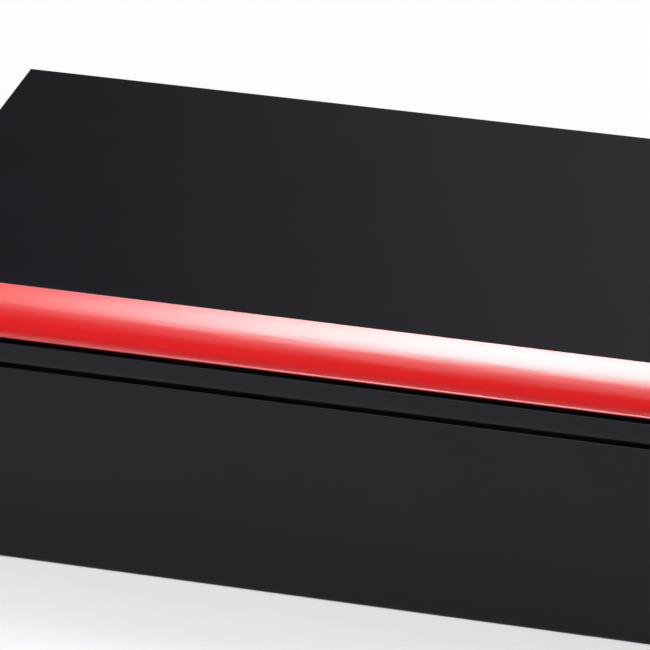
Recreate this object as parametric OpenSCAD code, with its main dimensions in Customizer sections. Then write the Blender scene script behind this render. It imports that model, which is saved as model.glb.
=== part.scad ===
// Two-tier stacking bento box in black lacquer with vermilion long edges on the lid.
// A lower box stands on the table, an upper tray hangs in it by its rim, and a lid covers both.
// Every board is a solid of its own. Lengths are in millimetres.
// The origin is on the table under the middle of the box. X runs along its length,
// Y runs from the front to the back, and Z points up.

/* [Overall] */
// Length of the box, left to right
box_length = 240; // [190:1:320]
// Depth of the box, front to back
box_depth = 160; // [120:1:220]
// Radius of the upright outer corners
corner_r = 1.5; // [0.8:0.1:2]
// How far an end board is let into the boards in front of and behind it
corner_lap = 2.4; // [1.5:0.1:2.5]
// Height of the shadow line, cut back all round at the top of each tier and the foot of the lid
shadow_h = 0.8; // [0.4:0.1:1.2]
// Depth of the shadow line
shadow_d = 1.5; // [1:0.1:2]
// Radius of the outer arris below a shadow line
shadow_arris_r = 0.1; // [0.1:0.05:0.3]

/* [Lower box] */
// Height of the lower box, from the table to the top of its walls
box_height = 64.2; // [58:0.1:100]
// Thickness of the walls
wall_t = 5; // [4.6:0.1:7]
// Thickness of the floor board
floor_t = 4; // [3:0.1:6]
// How far the walls reach below the floor board
foot_h = 1.5; // [1:0.1:4]
// How far the floor board is let into the walls
floor_lap = 2; // [1:0.1:3]
// Radius of the lower outer arris of the walls
foot_arris_r = 0.8; // [0.4:0.1:1.2]

/* [Upper tray] */
// Height of the rim that shows between the box and the lid
rim_h = 7.7; // [6:0.1:14]
// Radius of the arc that eases the foot of the rim's face
rim_ease_r = 4.1; // [2:0.1:5]
// How far that arc leads the foot of the face back
rim_ease_d = 0.75; // [0.2:0.05:1]
// How far the tray walls reach down into the box below the rim
tray_drop = 26.5; // [16:0.1:36]
// How far the tray walls rise above the rim, into the lid
tray_upstand = 4; // [2:0.1:5.5]
// Thickness of the tray walls
tray_wall_t = 4; // [3:0.1:5]
// Thickness of the tray floor
tray_floor_t = 3; // [2:0.1:4]
// How far the tray walls reach below the tray floor
tray_foot_h = 1; // [0.5:0.1:2]
// How far the tray floor is let into the tray walls
tray_floor_lap = 1.5; // [1:0.1:2]

/* [Lid] */
// Height of the lid's outside
lid_h = 13.5; // [12:0.1:15.5]
// Thickness of the lid panel
panel_t = 5; // [4:0.1:5.5]
// Width of the vermilion band, seen from above
band_w = 9; // [8:0.1:11]
// Radius of the band's curved face
band_r = 19.8; // [17.5:0.1:24]
// Radius of the nosing along the foot of the band
nosing_r = 0.35; // [0.2:0.05:0.6]
// Height of the nosing
nosing_h = 0.45; // [0.4:0.05:0.8]
// Radius of the arrises of the lid's end boards
end_arris_r = 0.4; // [0.2:0.1:0.8]
// Thickness of the tongue round the lid panel
tongue_t = 1.6; // [1:0.1:1.8]
// Height of the tongue above the panel's underside
tongue_up = 1.2; // [1:0.1:1.6]
// How far the tongue reaches into the edges
tongue_w = 2; // [1:0.1:2.2]

/* [Dividers] */
// Thickness of the loose dividers
divider_t = 3; // [2:0.1:4]
// How far the tray's two dividers end below the top of the tray walls
tray_divider_drop = 4.9; // [3:0.1:12]
// Room above the lower box's divider, under the tray
box_divider_room = 4.2; // [2:0.1:8]
// Depth of the two grooves that hold the lower box's divider
groove_d = 1.5; // [1:0.1:2]
// Share of the lower box's inside length to the left of its divider
box_divider_share = 0.6; // [0.3:0.01:0.7]
// Share of the tray's inside length to the left of its cross divider
tray_cross_share = 0.5; // [0.3:0.01:0.7]
// Share of the tray's inside depth in front of its long divider
tray_long_share = 0.5; // [0.3:0.01:0.7]

/* [Clearances] */
// Gap between two parts that rest on each other
rest_gap = 0.3; // [0.2:0.05:0.6]
// Gap at each side of a part that slides into another
fit_gap = 0.4; // [0.3:0.05:0.8]
// Radius of the arrises of the tray walls and the dividers
edge_r = 0.5; // [0.2:0.1:0.8]

/* [Hidden] */
$fn = 48;
black_lacquer = "#232124";
vermilion_lacquer = "#d8242b";

// Half sizes and levels, from the table up
half_l = box_length / 2;
half_d = box_depth / 2;
rim_z = box_height + rest_gap;
rim_top_z = rim_z + rim_h;
lid_z = rim_top_z + rest_gap;
lid_top_z = lid_z + lid_h;
panel_z = lid_top_z - panel_t;
box_floor_top_z = foot_h + floor_t;
tray_z = rim_z - tray_drop;
tray_floor_top_z = tray_z + tray_foot_h + tray_floor_t;
tray_top_z = rim_top_z + tray_upstand;

// The rim is thicker than a box wall by the fit, so the tray walls behind it clear the box.
// The lid's sides are as thick as a box wall, so they clear the tray walls by the same fit.
rim_t = wall_t + fit_gap;
skirt_t = wall_t;
tray_half_l = half_l - rim_t;
tray_half_d = half_d - rim_t;
tray_in_half_l = tray_half_l - tray_wall_t;
tray_in_half_d = tray_half_d - tray_wall_t;
tray_lap = min(corner_lap, tray_wall_t / 2);
box_in_half_l = half_l - wall_t;
box_in_half_d = half_d - wall_t;

// The band's face is one arc from the crease at the top down to the nosing. Its centre lies on
// the line that crosses the middle of the chord between these two squarely.
nosing_top_z = lid_z + shadow_h + nosing_h;
chord_w = band_w - nosing_r;
chord_h = lid_top_z - nosing_top_z;
chord = sqrt(chord_w * chord_w + chord_h * chord_h);
chord_to_centre = sqrt(band_r * band_r - chord * chord / 4);
band_centre_y = (nosing_r + band_w) / 2 + chord_to_centre * chord_h / chord;
band_centre_z = (nosing_top_z + lid_top_z) / 2 - chord_to_centre * chord_w / chord;
band_skin = skirt_t - corner_lap;

// Height of the arc at the foot of the rim's face
rim_ease_h = sqrt(rim_ease_r * rim_ease_r - (rim_ease_r - rim_ease_d) * (rim_ease_r - rim_ease_d));

// Overrun of the cutting tools
over = 1;

// Bar of the cross-section's outline, with round corners of one radius below and one above
module outline(w, h, r_low, r_high) {
    translate([-w / 2, r_low]) square([w, h - r_low - r_high]);
    translate([r_low - w / 2, 0]) square([w - 2 * r_low, r_low]);
    translate([r_high - w / 2, h - r_high]) square([w - 2 * r_high, r_high]);
    for (side = [-1, 1]) {
        translate([side * (w / 2 - r_low), r_low]) circle(r_low);
        translate([side * (w / 2 - r_high), h - r_high]) circle(r_high);
    }
}

// Block from two opposite corners
module block(low, high) {
    translate(low) cube(high - low);
}

// Extrudes an outline drawn in Y and Z along X, centred
module along_x(l) {
    rotate([90, 0, 90]) linear_extrude(l, center = true) children();
}

// Extrudes an outline drawn in X and Z along Y, centred
module along_y(l) {
    rotate([90, 0, 0]) linear_extrude(l, center = true) children();
}

// Outer form of one tier: upright corners and the arrises below and above are rounded
module tier_form(l, d, z, h, r_low, r_high, r_corner) {
    translate([0, 0, z]) intersection() {
        along_x(l) outline(d, h, r_low, r_high);
        along_y(d) outline(l, h, r_low, r_high);
        translate([0, -d / 2, 0]) linear_extrude(h) outline(l, d, r_corner, r_corner);
    }
}

// Outer form of a tier, which stands back above its shadow line
module stepped_form(z, h, r_low) {
    tier_form(box_length, box_depth, z, h - shadow_h, r_low, shadow_arris_r, corner_r);
    block([shadow_d - half_l, shadow_d - half_d, z + h - shadow_h - over],
          [half_l - shadow_d, half_d - shadow_d, z + h]);
}

// Board at the front of a frame of boards. It runs the whole length, and the end boards are
// let into it at both ends.
module front_board(half_len, half_dep, z, h, t, lap) {
    difference() {
        block([-half_len, -half_dep, z], [half_len, t - half_dep, z + h]);
        for (side = [0, 1]) mirror([side, 0, 0])
            block([half_len - t, t - lap - half_dep, z - over], [half_len + over, t - half_dep + over, z + h + over]);
    }
}

// Board at the right end of the same frame
module end_board(half_len, half_dep, z, h, t, lap) {
    y = half_dep - t + lap;
    block([half_len - t, -y, z], [half_len, y, z + h]);
}

// Rebate for a floor board, cut into the inner faces of a frame of boards
module floor_rebate(in_half_l, in_half_d, z, t, lap) {
    block([-in_half_l - lap, -in_half_d - lap, z], [in_half_l + lap, in_half_d + lap, z + t]);
}

module box_form() {
    stepped_form(0, box_height, foot_arris_r);
}

module box_floor_space() {
    floor_rebate(box_in_half_l, box_in_half_d, foot_h, floor_t, floor_lap);
}

// Place of the lower box's divider along the length, and its lower edge and height
box_divider_x = (2 * box_divider_share - 1) * box_in_half_l;
box_divider_z = box_floor_top_z + rest_gap;
box_divider_h = tray_z - box_divider_room - box_divider_z;

// Groove in the front wall for the lower box's divider, open at the top
module divider_groove() {
    half_w = divider_t / 2 + fit_gap;
    block([box_divider_x - half_w, -box_in_half_d - groove_d, box_floor_top_z],
          [box_divider_x + half_w, over - box_in_half_d, box_height + over]);
}

module box_wall_front() {
    color(black_lacquer) intersection() {
        difference() {
            front_board(half_l, half_d, 0, box_height, wall_t, corner_lap);
            box_floor_space();
            divider_groove();
        }
        box_form();
    }
}

module box_wall_back() {
    mirror([0, 1, 0]) box_wall_front();
}

module box_wall_right() {
    color(black_lacquer) intersection() {
        difference() {
            end_board(half_l, half_d, 0, box_height, wall_t, corner_lap);
            box_floor_space();
        }
        box_form();
    }
}

module box_wall_left() {
    mirror([1, 0, 0]) box_wall_right();
}

module box_floor() {
    color(vermilion_lacquer) box_floor_space();
}

// Divider with rounded arrises, drawn in its own length and height, standing on z
module divider_board(l, z, h) {
    translate([0, 0, z]) intersection() {
        along_y(divider_t) outline(l, h, edge_r, edge_r);
        along_x(l) outline(divider_t, h, edge_r, edge_r);
    }
}

module box_divider() {
    l = 2 * (box_in_half_d + groove_d - fit_gap);
    color(vermilion_lacquer) translate([box_divider_x, 0, 0]) rotate([0, 0, 90])
        divider_board(l, box_divider_z, box_divider_h);
}

// The arc's circle reaches below the rim, where the boards end it
module rim_form() {
    low_z = rim_z + rim_ease_h - rim_ease_r;
    stepped_form(low_z, rim_top_z - low_z, rim_ease_r);
}

module tray_rim_front() {
    color(black_lacquer) intersection() {
        front_board(half_l, half_d, rim_z, rim_h, rim_t, corner_lap);
        rim_form();
    }
}

module tray_rim_back() {
    mirror([0, 1, 0]) tray_rim_front();
}

module tray_rim_right() {
    color(black_lacquer) intersection() {
        end_board(half_l, half_d, rim_z, rim_h, rim_t, corner_lap);
        rim_form();
    }
}

module tray_rim_left() {
    mirror([1, 0, 0]) tray_rim_right();
}

module tray_form() {
    tier_form(2 * tray_half_l, 2 * tray_half_d, tray_z, tray_top_z - tray_z, edge_r, edge_r, edge_r);
}

module tray_floor_space() {
    floor_rebate(tray_in_half_l, tray_in_half_d, tray_z + tray_foot_h, tray_floor_t, tray_floor_lap);
}

module tray_wall_front() {
    color(black_lacquer) intersection() {
        difference() {
            front_board(tray_half_l, tray_half_d, tray_z, tray_top_z - tray_z, tray_wall_t, tray_lap);
            tray_floor_space();
        }
        tray_form();
    }
}

module tray_wall_back() {
    mirror([0, 1, 0]) tray_wall_front();
}

module tray_wall_right() {
    color(black_lacquer) intersection() {
        difference() {
            end_board(tray_half_l, tray_half_d, tray_z, tray_top_z - tray_z, tray_wall_t, tray_lap);
            tray_floor_space();
        }
        tray_form();
    }
}

module tray_wall_left() {
    mirror([1, 0, 0]) tray_wall_right();
}

module tray_floor() {
    color(vermilion_lacquer) tray_floor_space();
}

// Places of the tray's two dividers, which cross in a half lap
tray_cross_x = (2 * tray_cross_share - 1) * tray_in_half_l;
tray_long_y = (2 * tray_long_share - 1) * tray_in_half_d;
tray_divider_z = tray_floor_top_z + rest_gap;
tray_divider_h = tray_top_z - tray_divider_drop - tray_divider_z;
lap_z = tray_divider_z + tray_divider_h / 2;
lap_half_w = divider_t / 2 + fit_gap;

// Slot of the half lap, from z upwards or down to z
module lap_slot(low_z, high_z) {
    block([tray_cross_x - lap_half_w, tray_long_y - lap_half_w, low_z],
          [tray_cross_x + lap_half_w, tray_long_y + lap_half_w, high_z]);
}

module tray_long_divider() {
    color(vermilion_lacquer) difference() {
        translate([0, tray_long_y, 0])
            divider_board(2 * (tray_in_half_l - fit_gap), tray_divider_z, tray_divider_h);
        lap_slot(lap_z, tray_divider_z + tray_divider_h + over);
    }
}

module tray_cross_divider() {
    color(vermilion_lacquer) difference() {
        translate([tray_cross_x, 0, rest_gap]) rotate([0, 0, 90])
            divider_board(2 * (tray_in_half_d - fit_gap), tray_divider_z, tray_divider_h);
        lap_slot(tray_divider_z - over, lap_z + rest_gap);
    }
}

// Upright corners of the lid, over its whole height
module lid_plan() {
    translate([0, -half_d, lid_z - over]) linear_extrude(lid_h + 2 * over)
        outline(box_length, box_depth, corner_r, corner_r);
}

// Space that the lid panel fills: a plate between the edges, with a tongue all round
module panel_space() {
    l = half_l - skirt_t;
    d = half_d - band_w;
    tongue_z = panel_z + tongue_up;
    block([-l, -d, panel_z], [l, d, lid_top_z]);
    block([-l - tongue_w, -d - tongue_w, tongue_z], [l + tongue_w, d + tongue_w, tongue_z + tongue_t]);
}

module lid_panel() {
    color(black_lacquer) panel_space();
}

// Cut of the shadow line round the foot of the lid
module lid_shadow_line() {
    difference() {
        block([-half_l - over, -half_d - over, lid_z - over], [half_l + over, half_d + over, lid_z + shadow_h]);
        block([shadow_d - half_l, shadow_d - half_d, lid_z - 2 * over],
              [half_l - shadow_d, half_d - shadow_d, lid_z + shadow_h + over]);
    }
}

// Cross-section of the front moulding, with its face at the left. It is hollowed under the
// panel as far as its skin allows.
module band_section() {
    nosing_z = nosing_top_z - nosing_r;
    difference() {
        union() {
            intersection() {
                translate([band_centre_y, band_centre_z]) circle(band_r, $fn = 4 * $fn);
                translate([0, nosing_top_z]) square([band_w, lid_top_z - nosing_top_z]);
            }
            translate([nosing_r, lid_z]) square([band_w - nosing_r, nosing_top_z - lid_z]);
            translate([0, lid_z]) square([band_w, nosing_z - lid_z]);
            translate([nosing_r, nosing_z]) circle(nosing_r);
        }
        intersection() {
            translate([skirt_t, lid_z - over]) square([band_w, panel_z - lid_z + over]);
            translate([band_centre_y, band_centre_z]) circle(band_r - band_skin, $fn = 4 * $fn);
        }
    }
}

// Space of the right end board. Its ends follow the band's arc and are let into the mouldings,
// which run past it as a curved skin.
module lid_end_space() {
    translate([half_l - skirt_t / 2, 0, 0]) along_x(skirt_t) {
        translate([band_w - half_d, lid_z]) square([box_depth - 2 * band_w, lid_h]);
        for (side = [0, 1]) mirror([side, 0]) intersection() {
            translate([half_d - band_centre_y, band_centre_z]) circle(band_r - band_skin, $fn = 4 * $fn);
            translate([half_d - band_centre_y, lid_z]) square([band_centre_y, lid_h]);
        }
    }
}

module lid_edge_front() {
    color(vermilion_lacquer) intersection() {
        difference() {
            translate([0, -half_d, 0]) along_x(box_length) band_section();
            panel_space();
            for (side = [0, 1]) mirror([side, 0, 0]) lid_end_space();
            lid_shadow_line();
        }
        lid_plan();
    }
}

module lid_edge_back() {
    mirror([0, 1, 0]) lid_edge_front();
}

module lid_end_right() {
    color(black_lacquer) intersection() {
        difference() {
            lid_end_space();
            panel_space();
            lid_shadow_line();
        }
        translate([0, 0, lid_z]) along_y(box_depth) union() {
            translate([0, shadow_h]) outline(box_length, lid_h - shadow_h, end_arris_r, end_arris_r);
            translate([shadow_d - half_l, 0]) square([box_length - 2 * shadow_d, shadow_h + over]);
        }
    }
}

module lid_end_left() {
    mirror([1, 0, 0]) lid_end_right();
}

lid_panel();
lid_edge_front();
lid_edge_back();
lid_end_left();
lid_end_right();
tray_rim_front();
tray_rim_back();
tray_rim_left();
tray_rim_right();
tray_wall_front();
tray_wall_back();
tray_wall_left();
tray_wall_right();
tray_floor();
tray_long_divider();
tray_cross_divider();
box_wall_front();
box_wall_back();
box_wall_left();
box_wall_right();
box_floor();
box_divider();
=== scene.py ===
# Two-tier bento box in black lacquer, with vermilion mouldings along the lid's long edges.
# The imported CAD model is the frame. Lengths are in metres, in the CAD's own axes: the origin is
# on the table under the middle of the box, X runs along it, Y from front to back, and Z is up.
import math
from collections import namedtuple

import bmesh
import bpy
from mathutils import Matrix, Quaternion, Vector


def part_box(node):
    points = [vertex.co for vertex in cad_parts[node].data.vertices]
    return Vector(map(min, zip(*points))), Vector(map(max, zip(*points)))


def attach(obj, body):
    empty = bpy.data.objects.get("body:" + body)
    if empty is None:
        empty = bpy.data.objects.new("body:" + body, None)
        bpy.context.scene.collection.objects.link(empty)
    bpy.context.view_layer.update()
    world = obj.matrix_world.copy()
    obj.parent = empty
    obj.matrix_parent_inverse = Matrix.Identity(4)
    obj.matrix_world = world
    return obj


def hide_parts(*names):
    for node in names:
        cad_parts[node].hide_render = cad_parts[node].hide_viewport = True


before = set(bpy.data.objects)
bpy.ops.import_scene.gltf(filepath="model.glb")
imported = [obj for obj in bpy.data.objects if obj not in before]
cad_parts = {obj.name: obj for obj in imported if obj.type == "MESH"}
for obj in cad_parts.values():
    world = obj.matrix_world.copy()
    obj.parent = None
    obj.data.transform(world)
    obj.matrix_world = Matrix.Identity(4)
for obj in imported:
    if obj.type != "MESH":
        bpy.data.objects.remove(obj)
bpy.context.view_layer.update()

MM = 0.001
ALONG_BOX = Vector((1, 0, 0))

# Sizes that the frame gives, from each node's low and high corner
box_low, box_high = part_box("box_wall_front")
box_end_low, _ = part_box("box_wall_right")
box_floor_low, box_floor_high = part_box("box_floor")
divider_low, divider_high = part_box("box_divider")
_, tray_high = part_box("tray_wall_front")
tray_end_low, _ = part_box("tray_wall_right")
tray_floor_low, tray_floor_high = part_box("tray_floor")
moulding_low, moulding_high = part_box("lid_edge_front")
panel_low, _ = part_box("lid_panel")
lid_end_low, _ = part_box("lid_end_right")
half_length = box_high.x
half_depth = -box_low.y
wall_thickness = box_high.y - box_low.y
lid_foot_z = moulding_low.z
lid_top_z = moulding_high.z
panel_under_z = panel_low.z
lid_end_x = lid_end_low.x
band_width = half_depth + moulding_high.y

# Room that the lower box's divider has in its two grooves
groove_room = 0.4 * MM

# Lid moulding. Its curved face is one arc from the crease at the top down to a small nosing,
# which catches the light along the foot of the lid. Under the nosing runs the shadow line, as deep
# as the radius of the box's upright corners.
band_radius = 19.8 * MM
band_skin = 2.6 * MM
nosing_radius = 0.35 * MM
nosing_height = 0.45 * MM
shadow_height = 0.8 * MM
shadow_depth = 1.5 * MM
corner_radius = shadow_depth
nosing_top_z = lid_foot_z + shadow_height + nosing_height
BAND_STEPS = 40
NOSING_STEPS = 10
INNER_STEPS = 8
CORNER_STEPS = 8
SHARP_ANGLE = math.radians(28)

# Vertices nearer to each other than this become one, where the halves meet and over the whole piece
MIRROR_MERGE = 0.001 * MM
PIECE_MERGE = 0.0005 * MM

# Depth and height of the centre of the band's arc, which lies squarely behind the middle of the
# chord between the crease and the nosing
chord_width = band_width - nosing_radius
chord_height = lid_top_z - nosing_top_z
chord = math.hypot(chord_width, chord_height)
chord_to_centre = math.sqrt(band_radius**2 - chord**2 / 4)
band_centre_depth = (band_width + nosing_radius) / 2 + chord_to_centre * chord_height / chord
band_centre_z = (lid_top_z + nosing_top_z) / 2 - chord_to_centre * chord_width / chord


# Nodes and colours

# Places of the Mix node's inputs and output, for numbers and for colours
NUMBER_INPUTS = (2, 3)
NUMBER_OUTPUT = 0
COLOUR_INPUTS = (6, 7)
COLOUR_OUTPUT = 2

# Most of the noise lies between these two values
NOISE_LOW = 0.3
NOISE_HIGH = 0.7

WHITE = (1, 1, 1, 1)


def linear_colour(code):
    """Linear RGBA of an sRGB hex colour, by the curve that the sRGB standard gives."""
    shares = [int(code[i : i + 2], 16) / 255 for i in (1, 3, 5)]
    linear = [s / 12.92 if s <= 0.04045 else ((s + 0.055) / 1.055) ** 2.4 for s in shares]
    return (*linear, 1.0)


def add_node(tree, kind, settings=None, links=None):
    """Adds a node. Settings name its properties and inputs, and links give the sockets that feed
    it. An input is named by its label or its place."""
    node = tree.nodes.new(kind)
    for name, value in (settings or {}).items():
        if isinstance(name, int) or name in node.inputs:
            node.inputs[name].default_value = value
        else:
            setattr(node, name, value)
    for name, source in (links or {}).items():
        tree.links.new(source, node.inputs[name])
    return node


def worked_out(tree, operation, first, second=0.0):
    """Result of a sum on two values, each of them a number or a socket."""
    settings, links = {"operation": operation}, {}
    for place, value in enumerate((first, second)):
        (settings if isinstance(value, (int, float)) else links)[place] = value
    return add_node(tree, "ShaderNodeMath", settings, links).outputs[0]


def vector_result(tree, operation, vector, other=(0, 0, 0)):
    """Result of a sum on a vector's socket and a vector that is given."""
    settings = {"operation": operation, 1: other}
    outputs = add_node(tree, "ShaderNodeVectorMath", settings, {0: vector}).outputs
    return outputs["Value" if operation == "LENGTH" else "Vector"]


def ramp(tree, value, start, end, low=0.0, high=1.0, smooth=False):
    """A number that runs from low to high while the value runs from start to end."""
    settings = {"From Min": start, "From Max": end, "To Min": low, "To Max": high}
    if smooth:
        settings["interpolation_type"] = "SMOOTHSTEP"
    return add_node(tree, "ShaderNodeMapRange", settings, {"Value": value}).outputs["Result"]


def mixed_colours(tree, share, first, second):
    """Mix of two colours, each of them a hex code or a socket."""
    settings, links = {"data_type": "RGBA"}, {"Factor": share}
    for place, colour in zip(COLOUR_INPUTS, (first, second)):
        if isinstance(colour, str):
            settings[place] = linear_colour(colour)
        else:
            links[place] = colour
    return add_node(tree, "ShaderNodeMix", settings, links).outputs[COLOUR_OUTPUT]


def mixed_numbers(tree, share, first, second):
    """Mix of two numbers, each of them a socket."""
    links = {"Factor": share, **dict(zip(NUMBER_INPUTS, (first, second)))}
    return add_node(tree, "ShaderNodeMix", None, links).outputs[NUMBER_OUTPUT]


def new_material(name):
    """Material with an empty node tree, and the tree."""
    material = bpy.data.materials.new(name)
    material.use_nodes = True
    material.node_tree.nodes.clear()
    return material, material.node_tree


def output(tree, shader):
    """Makes a shader the material's surface."""
    add_node(tree, "ShaderNodeOutputMaterial", None, {"Surface": shader})


def object_place(tree):
    """Place in object coordinates, which are metres in the CAD's axes."""
    return add_node(tree, "ShaderNodeTexCoord").outputs["Object"]


def noise(tree, place, size, detail):
    """Noise whose largest forms have the given size."""
    settings = {"Scale": 1 / size, "Detail": detail}
    return add_node(tree, "ShaderNodeTexNoise", settings, {"Vector": place}).outputs["Fac"]


def patches(tree, place, size, low=0.0, high=1.0):
    """A number that drifts between low and high over patches of the given size."""
    return ramp(tree, noise(tree, place, size, detail=3.0), NOISE_LOW, NOISE_HIGH, low, high)


def drifting_colour(tree, place, size, first, second):
    """A colour that drifts between two others over patches of the given size."""
    return mixed_colours(tree, patches(tree, place, size), first, second)


def lacquer_waves(tree, place, pitch, height, stretch):
    """Normal of the faint waves that stay in a rubbed lacquer coat, drawn out along the box."""
    scale = (1 / stretch, 1, 1)
    drawn_out = add_node(tree, "ShaderNodeMapping", {"Scale": scale}, {"Vector": place})
    waves = noise(tree, drawn_out.outputs["Vector"], pitch, detail=2.0)
    bump = add_node(tree, "ShaderNodeBump", {"Distance": height}, {"Height": waves})
    return bump.outputs["Normal"]


# Finishes

# Refractive index of the satin lacquer, low because its rubbed surface mirrors the studio weakly
LACQUER_IOR = 1.32

# Outer share of the moulding's skin that is vermilion, and the height of the painted shade that
# darkens the red above the nosing
VERMILION_SHARE = 0.8
painted_shade_height = 2.8 * MM

# Hollow of a tier: the place of its middle along the box, its half length and its half depth
Hollow = namedtuple("Hollow", "middle half_length half_depth")


def black_tone(tree, place):
    """Deep black of the lacquer, which drifts a little in tone."""
    return drifting_colour(tree, place, 45 * MM, "#0a0a11", "#0d0d14")


def black_gloss(tree, place):
    """Roughness of the black satin lacquer."""
    return patches(tree, place, 25 * MM, low=0.23, high=0.26)


def inside_tone(tree, place):
    """Brownish red of the vermilion lacquer inside the tiers."""
    return drifting_colour(tree, place, 30 * MM, "#b9281b", "#c52c1e")


def inside_gloss(tree, place):
    """Roughness of the vermilion satin lacquer, which is duller than the black."""
    return patches(tree, place, 15 * MM, low=0.34, high=0.4)


def satin_surface(tree, place, tone, gloss):
    """Makes the material's surface a lacquer that was sprayed in several coats and rubbed to a
    satin gloss."""
    shader = add_node(
        tree,
        "ShaderNodeBsdfPrincipled",
        {"IOR": LACQUER_IOR},
        {
            "Base Color": tone,
            "Roughness": gloss,
            "Normal": lacquer_waves(tree, place, pitch=7 * MM, height=0.03 * MM, stretch=2),
        },
    )
    output(tree, shader.outputs["BSDF"])


def lacquer(name, tone, gloss):
    """Satin lacquer of one colour."""
    material, tree = new_material(name)
    place = object_place(tree)
    satin_surface(tree, place, tone(tree, place), gloss(tree, place))
    return material


def two_colour_lacquer(name, floor_z, hollows):
    """Satin lacquer, black outside and vermilion in a tier's hollows above the floor. The
    vermilion laps a little over the inner arris of the walls, and its edge wavers slightly there,
    as a brush leaves it."""
    material, tree = new_material(name)
    place = object_place(tree)
    parts = add_node(tree, "ShaderNodeSeparateXYZ", None, {"Vector": place}).outputs
    lap = patches(tree, place, 6 * MM, low=0.25 * MM, high=0.55 * MM)
    above_floor = worked_out(tree, "GREATER_THAN", parts["Z"], floor_z)
    share = 0.0
    for hollow in hollows:
        inside = above_floor
        reaches = (("X", hollow.middle, hollow.half_length), ("Y", 0.0, hollow.half_depth))
        for axis, middle, reach in reaches:
            along = worked_out(tree, "SUBTRACT", parts[axis], middle)
            past_wall = worked_out(tree, "SUBTRACT", worked_out(tree, "ABSOLUTE", along), lap)
            within = worked_out(tree, "LESS_THAN", past_wall, reach)
            inside = worked_out(tree, "MULTIPLY", inside, within)
        share = worked_out(tree, "MAXIMUM", share, inside)
    tone = mixed_colours(tree, share, black_tone(tree, place), inside_tone(tree, place))
    gloss = mixed_numbers(tree, share, black_gloss(tree, place), inside_gloss(tree, place))
    satin_surface(tree, place, tone, gloss)
    return material


def band_lacquer(name):
    """Bright vermilion lacquer under a clear polished coat, which mirrors a lamp sharply. Just
    above the nosing the red is painted deeper, as painted shade in the corner there. The moulding's
    hollow side, under the lid, is black like the rest of the lid's inside."""
    material, tree = new_material(name)
    place = object_place(tree)
    parts = add_node(tree, "ShaderNodeSeparateXYZ", None, {"Vector": place}).outputs
    depth = worked_out(tree, "ABSOLUTE", parts["Y"])
    in_depth = worked_out(tree, "SUBTRACT", depth, half_depth - band_centre_depth)
    in_height = worked_out(tree, "SUBTRACT", parts["Z"], band_centre_z)
    across = worked_out(tree, "MULTIPLY", in_depth, in_depth)
    upward = worked_out(tree, "MULTIPLY", in_height, in_height)
    from_centre = worked_out(tree, "SQRT", worked_out(tree, "ADD", across, upward))
    vermilion_from = band_radius - VERMILION_SHARE * band_skin
    outside = worked_out(tree, "GREATER_THAN", from_centre, vermilion_from)
    red = drifting_colour(tree, place, 30 * MM, "#ec181b", "#e8171a")
    # Painted shade: the red turns deeper over this height above the nosing, where less light
    # reaches
    painted_shade = ramp(tree, parts["Z"], nosing_top_z + painted_shade_height, nosing_top_z, smooth=True)
    red = mixed_colours(tree, painted_shade, red, "#c6151c")
    waves = lacquer_waves(tree, place, pitch=2 * MM, height=0.05 * MM, stretch=15)
    shader = add_node(
        tree,
        "ShaderNodeBsdfPrincipled",
        {"IOR": 1.55, "Coat Weight": 1.0, "Coat Roughness": 0.15, "Coat IOR": 1.6},
        {
            "Base Color": mixed_colours(tree, outside, black_tone(tree, place), red),
            "Roughness": patches(tree, place, 15 * MM, low=0.21, high=0.24),
            "Normal": waves,
            "Coat Normal": waves,
        },
    )
    output(tree, shader.outputs["BSDF"])
    return material


# Lid mouldings


def arc(bm, first, centre, turn, steps):
    """Vertices of an arc that starts at first and turns about the centre, towards the front."""
    before = len(bm.verts)
    bmesh.ops.spin(
        bm, geom=[first], cent=centre, axis=ALONG_BOX, angle=turn, steps=steps, use_merge=False
    )
    return [first, *list(bm.verts)[before:]]


def moulding_section(bm):
    """Faces of the front moulding's cross-section at the middle of the box: the skin behind the
    curved face, its foot beside the shadow line, and the two blocks between the end boards."""
    centre = Vector((0, band_centre_depth - half_depth, band_centre_z))
    inner_radius = band_radius - band_skin

    def tilt_at_height(radius, z):
        return math.acos((z - band_centre_z) / radius)

    def tilt_at_depth(radius, depth):
        return math.asin((band_centre_depth - depth) / radius)

    def on_circle(radius, tilt):
        return bm.verts.new(centre + Vector((0, -math.sin(tilt), math.cos(tilt))) * radius)

    def at(depth, z):
        return bm.verts.new((0, depth - half_depth, z))

    shadow_top_z = lid_foot_z + shadow_height
    crease_tilt = tilt_at_height(band_radius, lid_top_z)
    foot_tilt = tilt_at_height(band_radius, nosing_top_z)
    crease = on_circle(band_radius, crease_tilt)
    face = arc(bm, crease, centre, foot_tilt - crease_tilt, BAND_STEPS)
    nosing_centre = Vector((0, nosing_radius - half_depth, nosing_top_z - nosing_radius))
    nosing = arc(bm, face[-1], nosing_centre, math.pi / 2, NOSING_STEPS)

    tilts = [
        tilt_at_height(inner_radius, lid_foot_z),
        tilt_at_height(inner_radius, shadow_top_z),
        tilt_at_depth(inner_radius, wall_thickness),
        tilt_at_height(inner_radius, panel_under_z),
        tilt_at_depth(inner_radius, band_width),
    ]
    hollow = [[on_circle(inner_radius, tilts[0])]]
    for start, end in zip(tilts, tilts[1:]):
        hollow.append(arc(bm, hollow[-1][-1], centre, end - start, INNER_STEPS))
    foot_arc, lower_arc, middle_arc, upper_arc = hollow[1:]
    toe = at(0, shadow_top_z)
    shadow_back = at(shadow_depth, shadow_top_z)
    bm.faces.new(
        [*face, *nosing[1:], toe, shadow_back, *lower_arc, *middle_arc[1:], *upper_arc[1:]]
    )
    bm.faces.new([shadow_back, at(shadow_depth, lid_foot_z), *foot_arc])
    bm.faces.new([at(wall_thickness, lid_foot_z), *foot_arc, *lower_arc[1:]])
    bm.faces.new([at(band_width, panel_under_z), *upper_arc])
    return list(bm.faces)


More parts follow.
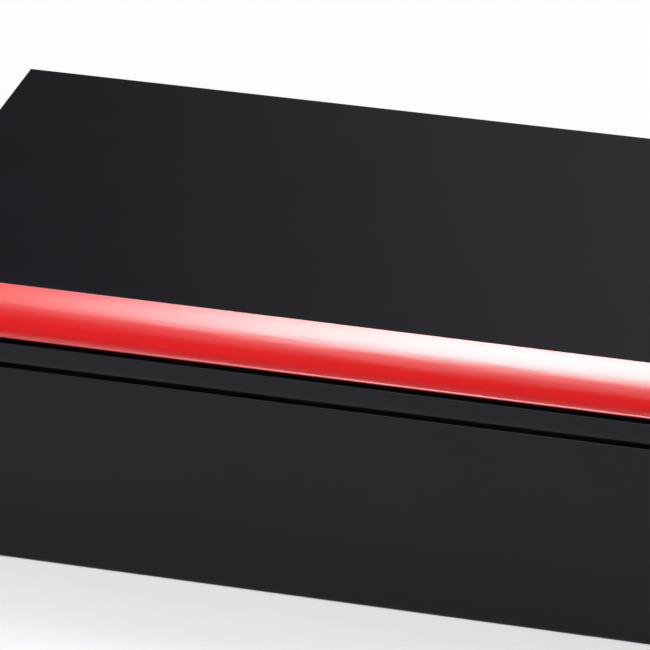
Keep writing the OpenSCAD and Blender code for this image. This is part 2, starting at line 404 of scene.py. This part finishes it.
def extruded(bm, faces, distance):
    """Faces at the far end of an extrusion along the box."""
    made = bmesh.ops.extrude_face_region(bm, geom=faces)["geom"]
    verts = [part for part in made if isinstance(part, bmesh.types.BMVert)]
    bmesh.ops.translate(bm, vec=ALONG_BOX * distance, verts=verts)
    return [part for part in made if isinstance(part, bmesh.types.BMFace)]


def corner_inset(x):
    """How far the box's upright corner lies behind the front plane at a place along the box."""
    past = max(0.0, x - (half_length - corner_radius))
    return corner_radius - math.sqrt(max(0.0, corner_radius**2 - past**2))


def widest(faces):
    """The face with the largest area."""
    return max(faces, key=lambda face: face.calc_area())


def lowest(faces):
    """The face whose middle lies lowest."""
    return min(faces, key=lambda face: face.calc_center_median().z)


def finished_piece(bm, name):
    """Object made of a mesh that is welded and has its normals outward. Its faces are smooth,
    except across sharp edges."""
    bmesh.ops.remove_doubles(bm, verts=bm.verts, dist=PIECE_MERGE)
    bmesh.ops.recalc_face_normals(bm, faces=bm.faces)
    mesh = bpy.data.meshes.new(name)
    bm.to_mesh(mesh)
    bm.free()
    mesh.shade_smooth()
    mesh.set_sharp_from_angle(angle=SHARP_ANGLE)
    piece = bpy.data.objects.new(name, mesh)
    bpy.context.scene.collection.objects.link(piece)
    return piece


def lid_moulding(name, side):
    """Moulding at the front, side -1, or at the back, side 1. It is hollowed over the tray and
    runs past the end boards as a skin, whose foot ends at the shadow line."""
    bm = bmesh.new()
    section = moulding_section(bm)
    far = extruded(bm, section, lid_end_x)
    placed = half_length - corner_radius
    far = extruded(bm, [widest(far), lowest(far)], placed - lid_end_x)
    for step in range(1, CORNER_STEPS + 1):
        angle = math.pi / 2 * step / CORNER_STEPS
        reached = half_length - corner_radius * (1 - math.sin(angle))
        far = extruded(bm, [widest(far)], reached - placed)
        placed = reached
    for vert in bm.verts:
        vert.co.y = max(vert.co.y, corner_inset(vert.co.x) - half_depth)
    bmesh.ops.delete(bm, geom=section, context="FACES_ONLY")
    half = [*bm.verts, *bm.edges, *bm.faces]
    bmesh.ops.mirror(bm, geom=half, matrix=Matrix(), merge_dist=MIRROR_MERGE, axis="X")
    if side > 0:
        bmesh.ops.scale(bm, vec=(1, -1, 1), verts=bm.verts)
    return finished_piece(bm, name)


# Studio

FLOOR_HALF_SIZE = 10.0

# Distances from the box at which the floor begins to run out into the backdrop and has become it
BACKDROP_START = 0.02
BACKDROP_END = 0.2

# Fade of a softbox along one of its own axes: the two distances from its middle between which it
# goes from dim to full brightness, and how bright the dim part is
Fade = namedtuple("Fade", "axis dim full low")


def distance_from_box(tree, place):
    """Distance of a place on the floor from the box's outline."""
    outside = vector_result(tree, "ABSOLUTE", place)
    outside = vector_result(tree, "SUBTRACT", outside, (half_length, half_depth, 0))
    outside = vector_result(tree, "MAXIMUM", outside)
    return vector_result(tree, "LENGTH", outside)


def studio_floor():
    """Pale paper that runs out into a bright backdrop away from the box. The backdrop shows to
    the camera and in reflections, and puts no light on the box."""
    bm = bmesh.new()
    bmesh.ops.create_grid(bm, x_segments=1, y_segments=1, size=FLOOR_HALF_SIZE)
    floor = finished_piece(bm, "studio_floor")
    material, tree = new_material("pale_studio_paper")
    place = object_place(tree)
    paper = add_node(
        tree,
        "ShaderNodeBsdfPrincipled",
        {"Roughness": 0.9, "Specular IOR Level": 0.1},
        {"Base Color": drifting_colour(tree, place, 200 * MM, "#f1f1f1", "#f3f3f3")},
    )
    backdrop = add_node(tree, "ShaderNodeEmission", {"Color": linear_colour("#fefefe")})
    from_box = distance_from_box(tree, place)
    away = ramp(tree, from_box, BACKDROP_START, BACKDROP_END, smooth=True)
    rays = add_node(tree, "ShaderNodeLightPath").outputs
    seen = worked_out(tree, "MAXIMUM", rays["Is Camera Ray"], rays["Is Glossy Ray"])
    seen = worked_out(tree, "MAXIMUM", seen, rays["Is Transmission Ray"])
    share = worked_out(tree, "MULTIPLY", away, seen)
    links = {"Fac": share, 1: paper.outputs["BSDF"], 2: backdrop.outputs["Emission"]}
    mix = add_node(tree, "ShaderNodeMixShader", None, links)
    output(tree, mix.outputs["Shader"])
    floor.data.materials.append(material)


def studio_world():
    """Dim surroundings that brighten smoothly towards the ceiling, from 30 degrees up."""
    world = bpy.data.worlds.new("studio")
    world.use_nodes = True
    tree = world.node_tree
    tree.nodes.clear()
    direction = add_node(tree, "ShaderNodeTexCoord").outputs["Generated"]
    height = add_node(tree, "ShaderNodeSeparateXYZ", None, {"Vector": direction}).outputs["Z"]
    level = ramp(tree, height, start=0.5, end=1.0, low=0.07, high=0.55, smooth=True)
    background = add_node(tree, "ShaderNodeBackground", {"Color": WHITE}, {"Strength": level})
    surface = background.outputs["Background"]
    add_node(tree, "ShaderNodeOutputWorld", None, {"Surface": surface})
    bpy.context.scene.world = world


def softbox(name, centre, width, length, radiance, facing=(0, 0, -1), turn=0.0, fades=()):
    """Softbox that is as bright as its radiance says where it isn't faded. Its fades are smooth
    along its length and straight along its width."""
    lamp = bpy.data.lights.new(name, "AREA")
    lamp.shape = "RECTANGLE"
    lamp.size = width
    lamp.size_y = length
    lamp.energy = radiance * math.pi * width * length
    lamp.use_nodes = True
    tree = lamp.node_tree
    tree.nodes.clear()
    share = add_node(tree, "ShaderNodeNewGeometry").outputs["Parametric"]
    shares = add_node(tree, "ShaderNodeSeparateXYZ", None, {"Vector": share}).outputs
    sizes = {"X": width, "Y": length}
    level = 1.0
    for fade in fades:
        # The shares run from 0 at one edge of the softbox to 1 at the other
        start, end = [distance / sizes[fade.axis] + 0.5 for distance in (fade.dim, fade.full)]
        smooth = fade.axis == "Y"
        factor = ramp(tree, shares[fade.axis], start, end, low=fade.low, smooth=smooth)
        level = worked_out(tree, "MULTIPLY", level, factor)
    settings, links = {"Color": WHITE}, {}
    (links if fades else settings)["Strength"] = level
    emission = add_node(tree, "ShaderNodeEmission", settings, links)
    add_node(tree, "ShaderNodeOutputLight", None, {"Surface": emission.outputs["Emission"]})
    lamp_object = bpy.data.objects.new(name, lamp)
    lamp_object.rotation_mode = "QUATERNION"
    aimed = Vector(facing).to_track_quat("-Z", "Y")
    lamp_object.rotation_quaternion = aimed @ Quaternion((0, 0, 1), turn)
    lamp_object.location = centre
    lamp_object.visible_camera = False
    bpy.context.scene.collection.objects.link(lamp_object)


def camera():
    """Long lens above the front right corner, aimed at a point near the lid's front edge. Its
    place was solved from the straight lines of the object in the picture."""
    aim = Vector((13.97 * MM, -72.33 * MM, lid_top_z))
    distance = 1.34143
    elevation = math.radians(27.805)
    turn = math.radians(14.853)
    back = Vector((
        math.sin(turn) * math.cos(elevation),
        -math.cos(turn) * math.cos(elevation),
        math.sin(elevation),
    ))
    data = bpy.data.cameras.new("camera")
    data.sensor_width = 36.0
    data.lens = 262.96
    data.clip_end = 50.0
    camera_object = bpy.data.objects.new("camera", data)
    camera_object.rotation_mode = "QUATERNION"
    camera_object.rotation_quaternion = (-back).to_track_quat("-Z", "Y")
    camera_object.location = aim + back * distance
    bpy.context.scene.collection.objects.link(camera_object)
    bpy.context.scene.camera = camera_object


# The finished box

black = lacquer("black_satin_lacquer", black_tone, black_gloss)
vermilion = lacquer("vermilion_satin_lacquer", inside_tone, inside_gloss)
band = band_lacquer("vermilion_gloss_lacquer")
box_lacquer = two_colour_lacquer(
    "black_and_vermilion_lacquer_box",
    floor_z=(box_floor_low.z + box_floor_high.z) / 2,
    hollows=(
        Hollow(middle=0.0, half_length=box_end_low.x, half_depth=-box_high.y),
        Hollow(
            middle=(divider_low.x + divider_high.x) / 2,
            half_length=(divider_high.x - divider_low.x) / 2 + groove_room,
            half_depth=divider_high.y + groove_room,
        ),
    ),
)
tray_lacquer = two_colour_lacquer(
    "black_and_vermilion_lacquer_tray",
    floor_z=(tray_floor_low.z + tray_floor_high.z) / 2,
    hollows=(Hollow(middle=0.0, half_length=tray_end_low.x, half_depth=-tray_high.y),),
)

# Finish of the nodes whose names begin with each of these
FINISHES = {
    "lid_panel": black,
    "lid_end": black,
    "lid_edge": band,
    "tray_rim": black,
    "tray_wall": tray_lacquer,
    "tray_floor": tray_lacquer,
    "tray_long_divider": vermilion,
    "tray_cross_divider": vermilion,
    "box_wall": box_lacquer,
    "box_floor": box_lacquer,
    "box_divider": vermilion,
}
for node_name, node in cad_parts.items():
    for start, finish in FINISHES.items():
        if node_name.startswith(start):
            node.material_slots[0].material = finish

for side, side_name in ((-1, "front"), (1, "back")):
    moulding = lid_moulding(f"lid_moulding_{side_name}", side)
    moulding.data.materials.append(band)
    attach(moulding, "lid")
    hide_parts(f"lid_edge_{side_name}")

studio_floor()
studio_world()
softbox(
    "front_softbox",
    centre=(-0.05, -1.51, lid_top_z + 1.1),
    width=1.9,
    length=2.78,
    radiance=10.2,
    turn=math.radians(-8),
    fades=(
        Fade("X", dim=-0.505, full=-0.335, low=0.01),
        Fade("X", dim=0.04, full=-0.11, low=0.06),
        Fade("Y", dim=0.085, full=0.79, low=0.13),
        Fade("Y", dim=-1.39, full=0.2, low=0.0),
    ),
)
softbox(
    "back_softbox",
    centre=(0.0, 0.6, lid_top_z + 1.3),
    width=3.2,
    length=0.3,
    radiance=2.2,
)
softbox(
    "back_card",
    centre=(0.1, 1.2, lid_top_z + 0.85),
    width=2.0,
    length=0.9,
    radiance=0.66,
    facing=(0, -1, 0),
    fades=(Fade("X", dim=0.6, full=-0.25, low=0.08),),
)
camera()
bpy.context.scene.view_settings.view_transform = "Standard"
